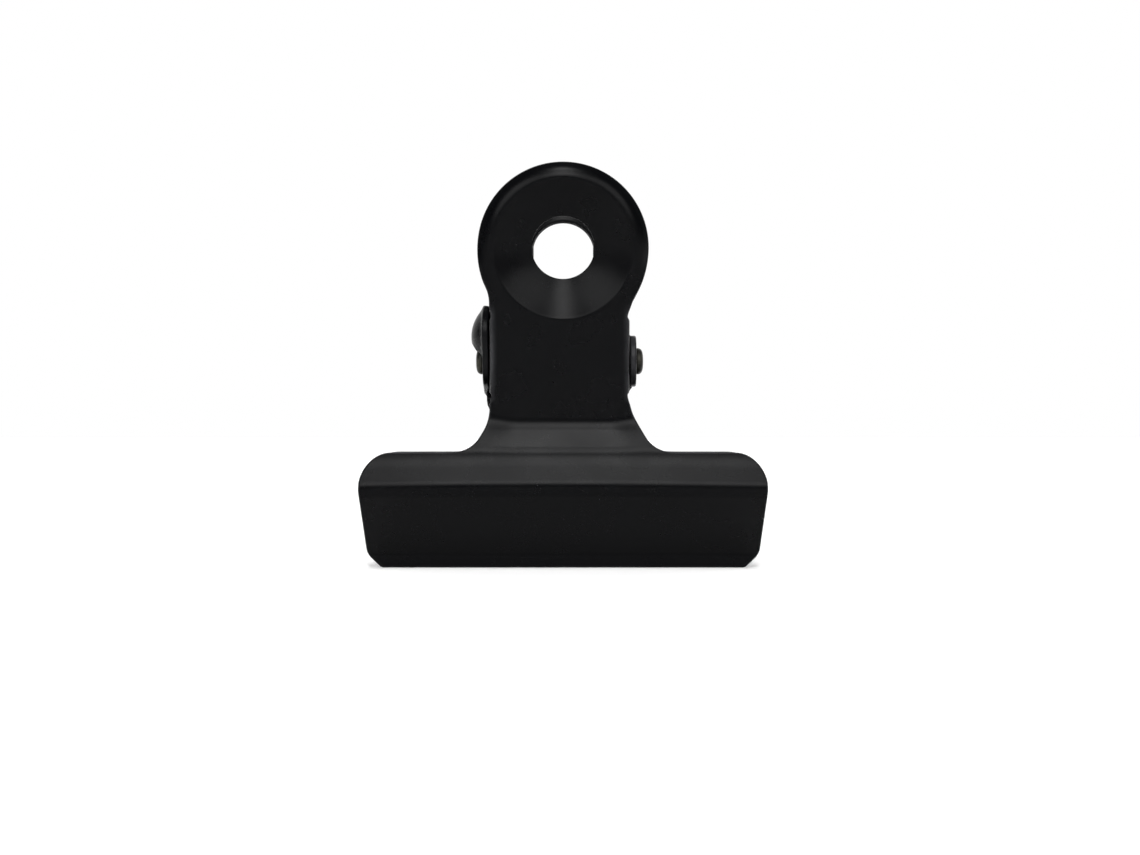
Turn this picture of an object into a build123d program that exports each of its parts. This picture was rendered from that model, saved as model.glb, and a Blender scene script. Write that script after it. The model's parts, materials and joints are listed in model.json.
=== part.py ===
from build123d import *
import math
import os

# Bulldog clip, in millimetres, closed and upright.
# X runs along the jaw, -Y is the front, +Z is up. The origin lies under the middle of the closed lips.

# Sheet and jaw
sheet = 0.8
jaw_width = 50.0
lip_width = 49.0
lip_gap = 0.1
lip_height = 1.6
ridge_height = 9.9
ridge_depth = 8.0
jaw_top_height = 14.5
jaw_top_depth = 5.4
jaw_top_corner = 4.0
lip_corner = 2.4
lip_bend = 1.0
ridge_bend = 1.3
shoulder_bend = 2.5

# Waist, neck and handle
waist_height = 17.95
waist_depth = 3.44
waist_bend = 2.6
handle_lean = 8.0
left_neck = 9.1
right_neck = 8.2
jaw_fillet = 6.0
head_fillet = 4.5
fold_radius = 0.2

# Head: a shallow bowl pressed inwards, inside a rim that rolls back
clip_height = 50.0
head_radius = 10.5
dish_radius = 8.6
bowl_radius = 16.0
hole_radius = 3.8
rim_land = 0.5
rim_drop = 0.6

# Hinge pin and ears
pin_height = 25.8
pin_radius = 1.2
pin_clearance = 0.04
pin_head_radius = 1.65
left_head_length = 0.6
right_head_length = 0.9
pin_head_rounding = 0.35
ear_clearance = 0.1
front_lobe_radius = 2.9
front_ear_bottom = 21.5
front_ear_top = 31.0
rear_lobe_radius = 3.2
left_ear_bottom = 21.5
left_ear_top = 31.0
right_ear_bottom = 23.0
right_ear_top = 28.8

# Swelling pressed into the left rear ear, with a flat left round the pin head
swell_radius = 4.7
swell_height = 1.3
swell_offset = 0.3
swell_centre_height = 28.9
swell_margin = 0.2
head_seat_clearance = 0.3

# Torsion spring
wire = 1.1
coil_bore_clearance = 0.4
coil_turns = 6
coil_gap = 0.55
leg_below_dish = 0.5
leg_clearance = 0.15

# Values that follow from those above
lean = math.radians(handle_lean)
fold_outer = fold_radius + sheet
neck_edges = {-1: left_neck, 1: right_neck}
left_ear_inner = left_neck + ear_clearance
ear_edges = {-1: left_ear_inner + sheet, 1: right_neck + ear_clearance + sheet}
head_height = clip_height - head_radius
bowl_centre = math.sqrt(bowl_radius**2 - dish_radius**2)
dish_depth = math.sqrt(bowl_radius**2 - hole_radius**2) - bowl_centre
handle_top = head_height + 2 * head_radius
reach = 4 * jaw_width


def handle_point(height, inset=0.0):
    """Point (y, z) of the handle's outer face at this height, moved in by the inset."""
    depth = waist_depth + (height - waist_height) * math.tan(lean)
    return (-depth + inset * math.cos(lean), height + inset * math.sin(lean))


head_plane = Plane(
    origin=(0, *handle_point(head_height)),
    x_dir=(1, 0, 0),
    z_dir=(0, -math.cos(lean), -math.sin(lean)),
)
hole_height = handle_point(head_height, dish_depth + sheet / 2)[1]


def bent_sheet():
    """The sheet's side profile from lips to handle top, drawn across the whole width."""
    lip_face = -(lip_gap / 2 + sheet)
    corners = [
        (lip_face, 0),
        (lip_face, lip_height),
        (-ridge_depth, ridge_height),
        (-jaw_top_depth, jaw_top_height),
        (-waist_depth, waist_height),
        handle_point(handle_top),
    ]
    bends = [lip_bend, ridge_bend, shoulder_bend, waist_bend]
    outer = FilletPolyline(*corners, radius=bends)
    section = make_face(offset(outer, amount=sheet, side=Side.RIGHT))
    return extrude(Plane.YZ * section, jaw_width, both=True)


def block(x_range, z_range):
    """Rectangle of the front view between two x and two z values."""
    width = x_range[1] - x_range[0]
    height = z_range[1] - z_range[0]
    return Pos(x_range[0] + width / 2, z_range[0] + height / 2) * Rectangle(width, height)


def hollow_centre(side):
    """Centre (x, z) of the hollow curve between the neck and the head on one side."""
    centre_x = neck_edges[side] + head_fillet
    drop = math.sqrt((head_radius + head_fillet) ** 2 - centre_x**2)
    return side * centre_x, head_height - drop


def throat():
    """Wedge of the front view between the hollow curves, from the neck up to the head's centre."""
    return make_face(Polyline((0, head_height), hollow_centre(1), hollow_centre(-1), close=True))


def flat_outline():
    """Front outline of jaw and neck, with the hollow curves above the jaw and below the head."""
    lip_half = lip_width / 2
    jaw_half = jaw_width / 2
    jaw = make_face(
        FilletPolyline(
            (-lip_half, 0),
            (lip_half, 0),
            (jaw_half, ridge_height),
            (jaw_half, jaw_top_height),
            (-jaw_half, jaw_top_height),
            (-jaw_half, ridge_height),
            radius=[lip_corner, lip_corner, 0, jaw_top_corner, jaw_top_corner, 0],
            close=True,
        )
    )
    neck_top = max(hollow_centre(side)[1] for side in neck_edges)
    foot_z = jaw_top_height + jaw_fillet
    neck = block((-left_neck, right_neck), (ridge_height, neck_top))
    foot = block((-left_neck - jaw_fillet, right_neck + jaw_fillet), (ridge_height, foot_z))
    upper = throat()
    for side, edge in neck_edges.items():
        foot = foot - Pos(side * (edge + jaw_fillet), foot_z) * Circle(jaw_fillet)
        upper = upper - Pos(*hollow_centre(side)) * Circle(head_fillet)
    return jaw + foot + neck + upper


def head_ring():
    """Dish and rolled rim of the head, turned about the head's own axis."""
    back_radius = bowl_radius + sheet
    crease = math.sqrt(back_radius**2 - (bowl_centre + sheet) ** 2)
    land_edge = dish_radius + rim_land
    rim_width = head_radius - land_edge
    turn = 2 * math.atan2(rim_drop, rim_width)
    rim_curve = rim_width / math.sin(turn)

    def bowl_point(curve, x):
        return (x, bowl_centre - math.sqrt(curve**2 - x**2))

    def rim_point(curve, top, angle):
        return (land_edge + curve * math.sin(angle), top - curve * (1 - math.cos(angle)))

    face = [bowl_point(bowl_radius, dish_radius * share) for share in (0, 0.5, 1)]
    back = [bowl_point(back_radius, crease * share) for share in (1, 0.5, 0)]
    outer = [rim_point(rim_curve, 0, turn * share) for share in (0, 0.5, 1)]
    inner = [rim_point(rim_curve - sheet, -sheet, turn * share) for share in (1, 0.5, 0)]
    edges = [
        ThreePointArc(*face),
        Line(face[2], outer[0]),
        ThreePointArc(*outer),
        Line(outer[2], inner[0]),
        ThreePointArc(*inner),
        Line(inner[2], back[0]),
        ThreePointArc(*back),
        Line(back[2], face[0]),
    ]
    return revolve(Plane.XZ * make_face(edges), Axis.Z)


def side_band(side, edge, bottom, top):
    """The strip of neck edge on one side that is bent back instead of lying flat."""
    inner = edge - fold_outer
    strip = block(sorted((side * inner, side * reach)), (bottom, top))
    return extrude(Plane.XZ * strip, reach, both=True)


def plain_plate():
    """One pressing before its ears are bent: jaw, shoulder, neck and dished head."""
    outline = extrude(Plane.XZ * flat_outline(), reach, both=True)
    land_middle = dish_radius + rim_land / 2
    flat = (bent_sheet() & outline) - head_plane * Cylinder(land_middle, reach)
    neck_side = extrude(Plane.XZ * throat(), reach, both=True)
    neck_side = neck_side - head_plane * Cylinder(dish_radius + rim_land, 2 * reach)
    return flat + (head_plane * head_ring() - neck_side)


def ear_shape(bottom, top, lobe_radius):
    """Side view of an ear: a band along the neck's edge and a tongue round the pin."""
    lobe = Pos(0, pin_height) * Circle(lobe_radius)
    root = Line(handle_point(bottom, sheet / 2), handle_point(top, sheet / 2))
    band = Polyline(
        handle_point(bottom, -sheet),
        handle_point(top, -sheet),
        handle_point(top, sheet),
        handle_point(bottom, sheet),
        close=True,
    )
    return make_hull(lobe.edges() + root.edges()) + make_face(band)


def channel(edge):
    """Neck bent to a U along the handle, with its open side towards the other plate."""
    depth = 2 * ridge_depth
    outer = Pos(0, depth) * Rectangle(2 * edge, 2 * depth)
    outer = fillet(outer.vertices().group_by(Axis.Y)[0], fold_outer)
    inner = Pos(0, depth + sheet) * Rectangle(2 * (edge - sheet), 2 * depth)
    inner = fillet(inner.vertices().group_by(Axis.Y)[0], fold_radius)
    across = Plane(origin=head_plane.origin, x_dir=(1, 0, 0), z_dir=head_plane.y_dir)
    return extrude(across * (outer - inner), reach, both=True)


def side_ear(side, edge, shape):
    """One bent-back ear with the fold that joins it to the neck."""
    inner = edge - fold_outer - sheet
    outwards = Pos(side * (inner + reach / 2), 0, 0) * Box(reach, reach, reach)
    return channel(edge) & extrude(Plane.YZ * shape, reach, both=True) & outwards


def along_pin(radius, start, end):
    """Round bar about the pin's axis from one x value to another."""
    return Pos((start + end) / 2, 0, pin_height) * Rot(0, 90, 0) * Cylinder(radius, end - start)


def hang_hole():
    """Straight hole for a nail or hook through the dished head."""
    return Pos(0, 0, hole_height) * Rot(90, 0, 0) * Cylinder(hole_radius, reach)


def with_ears(ears):
    """A plate with these ears, each given as (side, edge, bottom, top, shape)."""
    plate = plain_plate()
    for side, edge, bottom, top, shape in ears:
        plate = plate - side_band(side, edge, bottom, top)
        plate = plate + side_ear(side, edge, shape)
    return plate - hang_hole()


def front_plate():
    shape = ear_shape(front_ear_bottom, front_ear_top, front_lobe_radius)
    ears = [(side, edge, front_ear_bottom, front_ear_top, shape) for side, edge in neck_edges.items()]
    plate = with_ears(ears)
    return plate - along_pin(pin_radius + pin_clearance, -reach, reach)


def rear_plate():
    """Built facing the front like its twin, then mirrored to the back."""
    shape = ear_shape(right_ear_bottom, right_ear_top, rear_lobe_radius)
    right = (1, ear_edges[1], right_ear_bottom, right_ear_top, shape)
    swell_x = swell_radius - swell_height - ear_edges[-1]
    centre = Pos(swell_x, -swell_offset, swell_centre_height)
    base = math.sqrt(swell_radius**2 - (left_ear_inner + swell_x) ** 2) + swell_margin
    pad = Pos(-swell_offset, swell_centre_height) * Circle(base)
    lobe = Pos(0, pin_height) * Circle(rear_lobe_radius)
    shape = ear_shape(left_ear_bottom, left_ear_top, rear_lobe_radius)
    shape = shape + make_hull(lobe.edges() + pad.edges())
    left = (-1, ear_edges[-1], left_ear_bottom, left_ear_top, shape)
    seat_radius = pin_head_radius + head_seat_clearance
    beyond_ear = Pos(-left_ear_inner - reach / 2, 0, 0) * Box(reach, reach, reach)
    swell = (centre * Sphere(swell_radius)) & beyond_ear
    swell = swell - along_pin(seat_radius, -reach, -ear_edges[-1])
    pocket = (centre * Sphere(swell_radius - sheet)) & beyond_ear
    pocket = pocket - along_pin(seat_radius + sheet, -reach, reach)
    plate = with_ears([left, right]) + swell - pocket
    plate = plate - along_pin(pin_radius + pin_clearance, -reach, reach)
    return mirror(plate, about=Plane.XZ)


def hinge_pin():
    """Shaft with an upset head on each end."""
    shaft = along_pin(pin_radius, -ear_edges[-1], ear_edges[1])
    for side, length in ((-1, left_head_length), (1, right_head_length)):
        seat = ear_edges[side]
        head = along_pin(pin_head_radius, *sorted((side * seat, side * (seat + length))))
        rim = head.edges().filter_by(GeomType.CIRCLE).sort_by(lambda e: side * e.center().X)[-1]
        shaft = shaft + fillet(rim, pin_head_rounding)
    return shaft


def biarc(start, start_dir, end, end_dir):
    """Two arcs that leave and arrive along the given directions and join smoothly."""
    span = end - start
    total = start_dir + end_dir
    a = 2 * (start_dir.dot(end_dir) - 1)
    b = -2 * span.dot(total)
    c = span.dot(span)
    reach_out = (-b - math.sqrt(b * b - 4 * a * c)) / (2 * a)
    first_corner = start + start_dir * reach_out
    last_corner = end - end_dir * reach_out
    middle = (first_corner + last_corner) / 2
    middle_dir = (last_corner - first_corner).normalized()
    return [
        TangentArc(start, middle, tangent=start_dir),
        TangentArc(middle, end, tangent=middle_dir),
    ]


def spring_path():
    """One leg up the front handle, the turns round the pin, and one leg up the rear handle."""
    coil_radius = pin_radius + coil_bore_clearance + wire / 2
    face_distance = -handle_point(pin_height)[0] * math.cos(lean) - sheet
    tip_distance = face_distance - leg_clearance - wire / 2
    leg_rise = head_height - dish_radius - leg_below_dish - pin_height
    leg_length = math.sqrt(leg_rise**2 + tip_distance**2 - coil_radius**2)
    splay = math.atan2(tip_distance, leg_rise) - math.atan2(coil_radius, leg_length)
    leg_angle = lean + splay
    sweep_angle = 2 * math.pi * coil_turns + math.pi - 2 * leg_angle
    pieces = math.ceil(sweep_angle / (math.pi / 2))
    pitch = wire + coil_gap
    advance = pitch / (2 * math.pi)
    half_length = advance * sweep_angle / 2

    def on_coil(share):
        turn = leg_angle + sweep_angle * share
        x = -half_length + 2 * half_length * share
        return Vector(x, -coil_radius * math.cos(turn), pin_height - coil_radius * math.sin(turn))

    def coil_direction(share):
        turn = leg_angle + sweep_angle * share
        slope = 0 if share in (0, 1) else advance
        return Vector(slope, coil_radius * math.sin(turn), -coil_radius * math.cos(turn)).normalized()

    leg = Vector(0, math.sin(leg_angle), -math.cos(leg_angle)) * leg_length
    edges = [Line(on_coil(0) - leg, on_coil(0))]
    for piece in range(pieces):
        first = piece / pieces
        last = (piece + 1) / pieces
        edges = edges + biarc(on_coil(first), coil_direction(first), on_coil(last), coil_direction(last))
    rear_leg = Vector(0, math.sin(leg_angle), math.cos(leg_angle)) * leg_length
    edges.append(Line(on_coil(1), on_coil(1) + rear_leg))
    return Wire([edge.edge() for edge in edges])


def torsion_spring(path):
    section = Plane(origin=path @ 0, z_dir=path % 0) * Circle(wire / 2)
    return sweep(section, path)


def least_gap(path):
    """Smallest clear distance between stretches of wire that aren't neighbours along it."""
    count = 600
    points = [path @ (index / count) for index in range(count + 1)]
    apart = math.ceil(2 * math.pi * (wire + pin_radius) / 2 / (path.length / count))
    distances = [
        (points[i] - points[j]).length
        for i in range(count + 1)
        for j in range(i + apart, count + 1)
    ]
    return min(distances) - wire


spring_wire = spring_path()
spring = torsion_spring(spring_wire)
tube_volume = math.pi * wire**2 / 4 * spring_wire.length
print(f"spring: least gap {least_gap(spring_wire):.3f}, volume {spring.volume:.3f} of {tube_volume:.3f}")

pieces = {
    "front_plate": front_plate(),
    "rear_plate": rear_plate(),
    "hinge_pin": hinge_pin(),
    "torsion_spring": spring,
}
os.makedirs("parts", exist_ok=True)
for name, piece in pieces.items():
    export_step(piece, f"parts/{name}.step")
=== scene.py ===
import json
import math

import bpy
import numpy as np
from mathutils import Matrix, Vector
from mathutils.geometry import delaunay_2d_cdt


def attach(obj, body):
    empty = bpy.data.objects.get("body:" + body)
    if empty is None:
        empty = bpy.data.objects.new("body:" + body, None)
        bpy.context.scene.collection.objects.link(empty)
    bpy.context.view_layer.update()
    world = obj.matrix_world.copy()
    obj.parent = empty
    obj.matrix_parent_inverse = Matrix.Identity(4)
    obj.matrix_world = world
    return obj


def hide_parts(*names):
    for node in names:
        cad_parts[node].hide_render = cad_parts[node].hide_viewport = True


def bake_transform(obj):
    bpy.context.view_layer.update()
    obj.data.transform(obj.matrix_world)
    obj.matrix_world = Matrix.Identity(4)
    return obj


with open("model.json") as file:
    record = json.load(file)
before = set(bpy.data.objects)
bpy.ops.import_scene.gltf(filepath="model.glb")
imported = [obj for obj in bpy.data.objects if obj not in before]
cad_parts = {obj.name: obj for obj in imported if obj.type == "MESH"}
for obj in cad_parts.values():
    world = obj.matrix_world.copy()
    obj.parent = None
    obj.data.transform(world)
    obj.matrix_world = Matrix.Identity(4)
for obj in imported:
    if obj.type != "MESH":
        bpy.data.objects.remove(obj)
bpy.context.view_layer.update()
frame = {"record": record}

record = frame["record"]
MM = 0.001

# Pressed sheet, in millimetres. Heights are above the lips, depths run forward from the middle plane.
SHEET = 0.8
EDGE_ROUNDING = 0.22
JAW_HALF = 25.0
LIP_HALF = 24.5
LIP_DEPTH = 0.85
LIP_HEIGHT = 1.6
BELOW_LIPS = -1.0
RIDGE_HEIGHT = 9.88
RIDGE_DEPTH = 7.65
RIDGE_ARCH = 0.13
CREASE_HEIGHT = 13.2
CREASE_DEPTH = 5.86
CREASE_ARCH = 0.12
SHOULDER_HEIGHT = 14.8
SHOULDER_DEPTH = 5.58
JAW_TOP = 14.5
WAIST_HEIGHT = 17.95
WAIST_DEPTH = 3.44
FLARE_WAIST_HEIGHT = 18.7
FLARE_INNER = 5.5
FLARE_OUTER = 10.5
LIP_BEND = 1.0
RIDGE_BEND = 2.0
CREASE_BEND = 6.0
SHOULDER_BEND = 2.5
WAIST_BEND = 2.6
LIP_CORNER = 1.5
LIP_CORNER_HEIGHT = 1.7
LIP_SLANT = 1.8
LIP_SLANT_CURVE = 0.8
JAW_TOP_CORNER = 4.0
LEFT_FOOT = (11.4, 18.4)
RIGHT_FOOT = (11.3, 19.8)
FOOT_LOW_CURVE = 4.0
FOOT_HIGH_CURVE = 5.5
HEAD_FILLET = 4.5

# Handle and its head.
LEAN = math.radians(8.0)
COS, SIN, TAN = math.cos(LEAN), math.sin(LEAN), math.tan(LEAN)
LEFT_NECK = 9.1
RIGHT_NECK = 8.2
EAR_JOG = 0.9
LEFT_JOG_RANGE = (18.6, 21.8, 31.0, 33.0)
RIGHT_JOG_RANGE = (21.8, 22.8, 28.7, 29.8)
JOG_RUN_IN = 3.0
HEAD_HEIGHT = 39.35
HEAD_RADIUS = 10.65
DISH_RADIUS = 8.6
BOWL_RADIUS = 23.5
BOWL_OFFSET = 3.85
DISH_CREASE = 0.08
DISH_FADE = (DISH_RADIUS + 0.2, DISH_RADIUS + 0.9)
HOLE_RADIUS = record["mounts"][0]["dims"]["r_mm"]
RIM_START = 8.2
RIM_CURVE = 2.4
RIM_SLOPE = math.radians(50.0)
LEFT_ROLL_RANGE = (64.0, 100.0)
RIGHT_ROLL_RANGE = (52.0, 88.0)
ROLL_FADE = (HEAD_RADIUS + 0.3, HEAD_RADIUS + 1.5)
HANDLE_END = 80.0

# Ears, pin and swelling.
PIN_HEIGHT = record["behaviour"]["joints"][0]["pos_m"][2] / MM
PIN_RADIUS = 1.2
PIN_CLEARANCE = 0.04
FOLD = 1.0
FOLD_FADE = 1.3
EAR_BOTTOM = 21.5
FRONT_EAR_TOP = 31.0
RIGHT_EAR_BOTTOM = 23.0
RIGHT_EAR_TOP = 28.8
NOTCH_HEIGHT = 31.0
NOTCH_DROP = 0.5
NOTCH_CORNER = 0.25
FRONT_LOBE = 2.9
REAR_LOBE = 3.2
EAR_CORNER = 0.2
EAR_MARGIN = 0.4
LEAST_FOLD = 1e-4
SWELL_RADIUS = 4.7
SWELL_RISE = 1.5
SWELL_HEIGHT = 28.9
SWELL_OFFSET = 0.3
SWELL_SOFTNESS = 0.3
SWELL_FADE = (4.2, 5.4)
SWELL_START = 0.3
PAD_RADIUS = 3.9
PAD_MARGIN = 0.12
SEAT_RADIUS = 1.75
SEAT_BLEND = 0.45
SEAT_RINGS = [1.62, 1.76, 1.88, 2.0, 2.12, 2.24, 2.5, 2.8]
PIN_HEAD_RADIUS = 1.65
PIN_HEAD_LENGTH = 0.9
# Rivet head: distance back from its struck end, radius and wear.
STRUCK_END = [
    (0.0, 0.35, 1.0), (0.03, 0.8, 0.9), (0.1, 1.15, 0.7),
    (0.22, 1.42, 0.5), (0.42, 1.58, 0.4), (0.65, PIN_HEAD_RADIUS, 0.3),
]
# The same from its seat: distance out from the ear, radius and wear.
HEAD_FOOT = [
    (0.12, PIN_HEAD_RADIUS - 0.02, 0.2), (0.01, PIN_HEAD_RADIUS - 0.1, 0.1),
    (0.0, PIN_RADIUS, 0.0), (-0.2, PIN_RADIUS, 0.0),
]

# Paint rubbed thin along the folds, with a painted highlight there that makes the left fold lighter than the
# right.
RUB_AND_HIGHLIGHT_PLACE = 0.85
RUB_AND_HIGHLIGHT_WIDTH = 0.4
RUB_AND_HIGHLIGHT_FADE = 2.0
LEFT_RUB_AND_HIGHLIGHT = 1.0
RIGHT_RUB_AND_HIGHLIGHT = 0.5
EAR_RUB = 0.1
HOLE_RUB = 0.15

# Wound spring.
WIRE = 1.1
COIL_CLEARANCE = 0.4
COIL_RADIUS = PIN_RADIUS + COIL_CLEARANCE + WIRE / 2
COIL_TURNS = 6
COIL_PITCH = 1.65
COIL_EASE = 0.12
LEG_BELOW_DISH = 0.5
LEG_CLEARANCE = 0.15
# Distance back from the wire's end, and share of the wire's radius.
WIRE_CHAMFER = [(0, 0.78), (0.06, 0.94), (0.14, 1.0)]

# Spacing of mesh points. Rows run across a blank, columns run up it, and rings go round the holes.
EDGE_STEPS = np.array([0.0, 0.13, 0.45, 1.0])
EDGE_GAP = 0.16
LIP_ROWS = [0.5, 0.9]
LOWEST_ROW = 0.4
FIRST_FLAT_ROW = 1.0
FLAT_STEP = 0.9
FLAT_GAP = 0.6
BEND_STEP = 0.22
BEND_GAP = 0.17
BEND_MARGIN = 0.2
BEND_REACH = 0.25
FEWEST_BEND_STEPS = 4
NECK_STEP = 0.8
NECK_END = 0.3
NECK_MARGIN = 0.25
FOLD_STEPS = 6
EAR_STEP = 0.45
EAR_FIRST_COLUMN = 0.35
EAR_FIRST_ROW = 0.2
EAR_REACH = 12.0
JAW_STEP = 0.9
JAW_OVERRUN = 1.0
HEAD_RINGS = [4.7, 5.6, 6.5, 7.4, 8.0, 8.3, 8.45, 8.6, 8.75, 8.9, 9.2, 9.5, 9.8, 10.1, 10.35]
HEAD_GAP = 0.1
SEAT_GAP = 0.2
HEAD_RING_POINTS = 96
SEAT_RING_POINTS = 64
LOBE_POINTS = 120
PIN_HOLE_POINTS = 40
FILLET_POINTS = 12
HEAD_ARC_POINTS = 42
OUTWARD_STEP = 0.02
POINTS_AT_ONCE = 500
COIL_STEPS_PER_TURN = 30
LEG_POINTS = 9


def smooth(low, high, value):
    """0 below low, 1 above high and an even rise between."""
    t = np.clip((value - low) / (high - low), 0.0, 1.0)
    return t * t * (3.0 - 2.0 * t)


def soft_positive(value, width):
    """The value where it is above zero and zero elsewhere, with a soft corner of this width."""
    return (value + np.sqrt(value * value + width * width)) / 2.0


def bent_curve(points, radii):
    """Depth against height for a polyline of (height, depth) whose inner corners are rounded by arcs."""
    points = np.array(points, float)
    arcs = []
    for i, radius in enumerate(radii, 1):
        before = points[i] - points[i - 1]
        after = points[i + 1] - points[i]
        before = before / np.linalg.norm(before)
        after = after / np.linalg.norm(after)
        cross = before[0] * after[1] - before[1] * after[0]
        turn = math.asin(cross)
        side = 1.0 if turn > 0 else -1.0
        length = radius * math.tan(abs(turn) / 2)
        start = points[i] - before * length
        end = points[i] + after * length
        centre = start + radius * side * np.array([-before[1], before[0]])
        arcs.append((start[0], end[0], centre, radius, side))

    def depth(height):
        result = np.interp(height, points[:, 0], points[:, 1])
        for low, high, centre, radius, side in arcs:
            chord = np.sqrt(np.maximum(radius**2 - (height - centre[0]) ** 2, 0.0))
            result = np.where((height > low) & (height < high), centre[1] - side * chord, result)
        return result

    return depth, arcs


def plate_curve(waist_height):
    """Depth against height for one cut through a plate, from below the lips to past the head."""
    waist_depth = WAIST_DEPTH + (waist_height - WAIST_HEIGHT) * TAN
    points = [
        (BELOW_LIPS, LIP_DEPTH),
        (LIP_HEIGHT, LIP_DEPTH),
        (RIDGE_HEIGHT, RIDGE_DEPTH),
        (CREASE_HEIGHT, CREASE_DEPTH),
        (SHOULDER_HEIGHT, SHOULDER_DEPTH),
        (waist_height, waist_depth),
        (HANDLE_END, WAIST_DEPTH + (HANDLE_END - WAIST_HEIGHT) * TAN),
    ]
    radii = [LIP_BEND, RIDGE_BEND, CREASE_BEND, SHOULDER_BEND, WAIST_BEND]
    return bent_curve(points, radii)


middle_curve, middle_arcs = plate_curve(WAIST_HEIGHT)
flare_curve, flare_arcs = plate_curve(FLARE_WAIST_HEIGHT)


def sheet_depth(x, z):
    """Depth of the outer face. The waist sits higher at the sides of the neck than in its middle."""
    share = smooth(FLARE_INNER, FLARE_OUTER, np.abs(x))
    return (1.0 - share) * middle_curve(z) + share * flare_curve(z)


def ridge_lift(x, z):
    """The ridge and the crease above it are shallow arches, higher in the middle than at the ends."""
    heights = [LIP_HEIGHT, RIDGE_HEIGHT, CREASE_HEIGHT, SHOULDER_HEIGHT]
    arch = np.interp(z, heights, [0.0, RIDGE_ARCH, CREASE_ARCH, 0.0])
    return arch * (1.0 - 2.0 * (x / JAW_HALF) ** 2)


def ear_spot(height, offset):
    """Ear depth and blank height of a point, offset from the middle plane towards its own plate."""
    reach = (WAIST_DEPTH + (height - WAIST_HEIGHT) * TAN - offset) * COS
    return reach, height - reach * SIN


PIN_DEPTH, PIN_FOOT = ear_spot(PIN_HEIGHT, 0.0)
SWELL_DEPTH, SWELL_FOOT = ear_spot(SWELL_HEIGHT, SWELL_OFFSET)
FOLD_LENGTH = FOLD * math.pi / 2


def past_fold(edge):
    """Blank distance from the middle at which an ear's depth counts from zero."""
    return edge - FOLD + FOLD_LENGTH - FOLD


def ear_depth(u):
    """How far into the ear a blank point lies, for a length u past the start of the fold."""
    bent = np.minimum(u, FOLD_LENGTH)
    return FOLD * (1.0 - np.cos(bent / FOLD)) + (u - bent)


def on_tongue(plate, x, z):
    """Points of the swollen ear's round part, which stands free of the neck above the notch."""
    along = np.abs(x) - past_fold(LEFT_NECK) - SWELL_DEPTH
    near = np.hypot(along, (z - SWELL_FOOT) / COS) < PAD_RADIUS + PAD_MARGIN
    return near & (x < 0) & plate["swollen"]


def pressed(plate, x, z):
    """How far the press pushes the sheet in: the dish, the rolled rim and the left rear ear's swelling."""
    v = (z - HEAD_HEIGHT) / COS
    r = np.hypot(x, v)
    bowl_edge = math.sqrt(BOWL_RADIUS**2 - (DISH_RADIUS + BOWL_OFFSET) ** 2)
    dish = np.sqrt(np.maximum(BOWL_RADIUS**2 - (r + BOWL_OFFSET) ** 2, 1.0)) - bowl_edge
    dish = soft_positive(dish, DISH_CREASE) * (1.0 - smooth(*DISH_FADE, r))
    from_neck = np.abs(np.arctan2(x, -v))
    past = np.maximum(r - RIM_START, 0.0)
    curled = np.minimum(past, RIM_CURVE * math.sin(RIM_SLOPE))
    roll = RIM_CURVE - np.sqrt(RIM_CURVE**2 - curled**2) + (past - curled) * math.tan(RIM_SLOPE)
    start, full = [np.where(x < 0, a, b) for a, b in zip(LEFT_ROLL_RANGE, RIGHT_ROLL_RANGE)]
    roll = roll * smooth(np.radians(start), np.radians(full), from_neck)
    amount = dish + roll * (1.0 - smooth(*ROLL_FADE, r))
    if plate["swollen"]:
        u = np.maximum(np.abs(x) - (LEFT_NECK - FOLD), 0.0)
        deep = ear_depth(u)
        away = np.hypot(deep - SWELL_DEPTH, (z - SWELL_FOOT) / COS)
        rise = np.sqrt(np.maximum(SWELL_RADIUS**2 - away**2, 0.0)) - (SWELL_RADIUS - SWELL_RISE)
        rise = soft_positive(rise, SWELL_SOFTNESS) * (1.0 - smooth(*SWELL_FADE, away))
        from_pin = np.hypot(deep - PIN_DEPTH, (z - PIN_FOOT) / COS)
        rise = rise * smooth(SEAT_RADIUS, SEAT_RADIUS + SEAT_BLEND, from_pin)
        rise = rise * smooth(SWELL_START, FOLD_LENGTH, u)
        amount = amount - np.where(on_tongue(plate, x, z), rise, 0.0)
    return amount


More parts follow.
